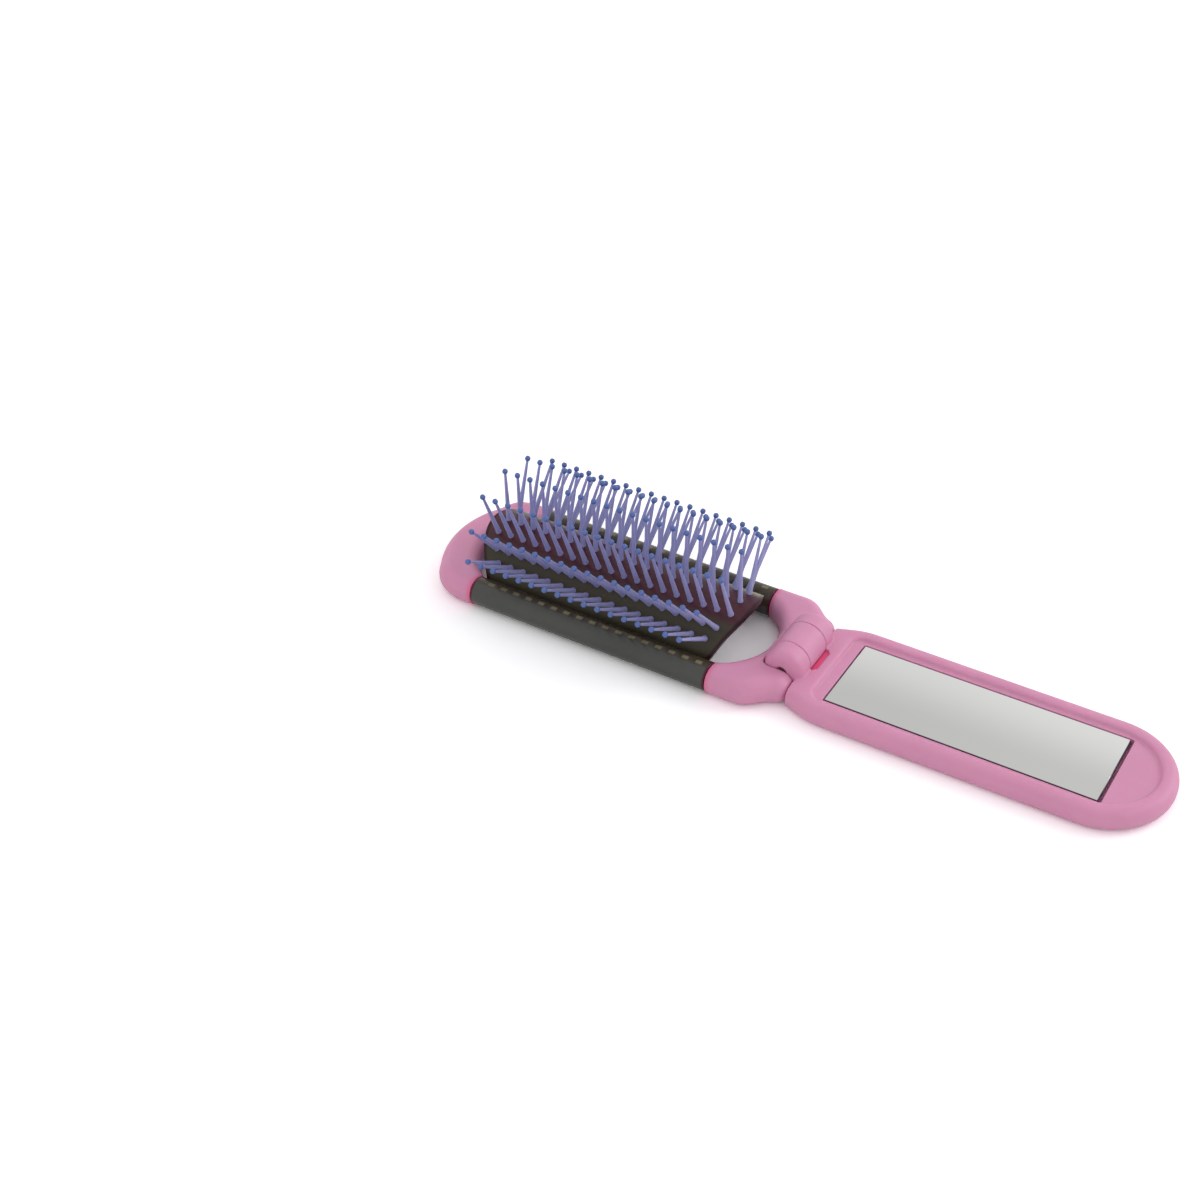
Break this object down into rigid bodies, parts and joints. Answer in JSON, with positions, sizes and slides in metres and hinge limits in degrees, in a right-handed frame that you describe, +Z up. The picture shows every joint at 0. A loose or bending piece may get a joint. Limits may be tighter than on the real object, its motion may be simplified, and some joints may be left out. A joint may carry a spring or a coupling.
{
  "type": "folding hairbrush with mirror",
  "caption": "Pocket hairbrush that folds at a knuckle hinge: rods carry an arched sheet of ball-tipped pins that pops down, and the handle holds a long mirror.",
  "frame": {"origin": "on the resting surface, under the middle of the open brush", "axes": "+X from the brush head to the mirror handle, +Y across, +Z up, the way the bristles point"},
  "size_m": [0.1804, 0.0436, 0.0281],
  "materials": {
    "pink_plastic": "satin moulded pink",
    "steel": "plain drawn wire",
    "dark_hem": "glossy smoky black",
    "smoky_sheet": "translucent smoky sheet",
    "lilac_pins": "lilac pins with blue ball tips",
    "mirror": "polished, bare",
    "pad": "white adhesive foam"
  },
  "bodies": {
    "frame": {"end_bow": "pink_plastic", "hinge_yoke": "pink_plastic", "side_rod_near": "steel", "side_rod_far": "steel", "hinge_pin": "steel"},
    "handle": {"handle_shell": "pink_plastic", "mirror_pad": "pad", "mirror": "mirror"},
    "row_1": {"hem_tube_near": "dark_hem", "sheet_strip_1": "smoky_sheet", "pin_row_1": "lilac_pins"},
    "row_2": {"sheet_strip_2": "smoky_sheet", "pin_row_2": "lilac_pins"},
    "row_3": {"sheet_strip_3": "smoky_sheet", "pin_row_3": "lilac_pins"},
    "row_4": {"sheet_strip_4": "smoky_sheet", "pin_row_4": "lilac_pins"},
    "row_5": {"sheet_strip_5": "smoky_sheet", "pin_row_5": "lilac_pins"},
    "row_6": {"sheet_strip_6": "smoky_sheet", "pin_row_6": "lilac_pins"},
    "row_7": {"hem_tube_far": "dark_hem", "sheet_strip_7": "smoky_sheet", "pin_row_7": "lilac_pins"}
  },
  "joints": [
    {"name": "fold", "type": "hinge", "parent": "frame", "child": "handle", "pos_m": [0.0036, 0, 0.0063], "axis": [0, -1, 0], "range_deg": [0, 180]},
    {"name": "row_1_down", "type": "hinge", "parent": "frame", "child": "row_1", "pos_m": [-0.04278, -0.0153, 0.00345], "axis": [-1, 0, 0], "range_deg": [0, 98.5], "deforming": ["sheet_strip_1"]},
    {"name": "row_2_down", "type": "hinge", "parent": "frame", "child": "row_2", "pos_m": [-0.04278, -0.02205, 0.00286], "axis": [-1, 0, 0], "range_deg": [0, 61], "deforming": ["sheet_strip_2"]},
    {"name": "row_3_down", "type": "hinge", "parent": "frame", "child": "row_3", "pos_m": [-0.04278, -0.04383, 0.00225], "axis": [-1, 0, 0], "range_deg": [0, 30.7], "deforming": ["sheet_strip_3"]},
    {"name": "row_4_down", "type": "slide", "parent": "frame", "child": "row_4", "axis": [0, 0, -1], "range_m": [0, 0.0225], "deforming": ["sheet_strip_4"]},
    {"name": "row_5_down", "type": "hinge", "parent": "frame", "child": "row_5", "pos_m": [-0.04278, 0.04383, 0.00225], "axis": [1, 0, 0], "range_deg": [0, 30.7], "deforming": ["sheet_strip_5"]},
    {"name": "row_6_down", "type": "hinge", "parent": "frame", "child": "row_6", "pos_m": [-0.04278, 0.02205, 0.00286], "axis": [1, 0, 0], "range_deg": [0, 61], "deforming": ["sheet_strip_6"]},
    {"name": "row_7_down", "type": "hinge", "parent": "frame", "child": "row_7", "pos_m": [-0.04278, 0.0153, 0.00345], "axis": [1, 0, 0], "range_deg": [0, 98.5], "deforming": ["sheet_strip_7"]}
  ],
  "couplings": [
    {"joint": "row_1_down", "follows": "fold", "ratio": 0.5472},
    {"joint": "row_2_down", "follows": "fold", "ratio": 0.3388},
    {"joint": "row_3_down", "follows": "fold", "ratio": 0.1705},
    {"joint": "row_4_down", "follows": "fold", "m_per_rad": 0.00716},
    {"joint": "row_5_down", "follows": "fold", "ratio": 0.1705},
    {"joint": "row_6_down", "follows": "fold", "ratio": 0.3388},
    {"joint": "row_7_down", "follows": "fold", "ratio": 0.5472}
  ]
}
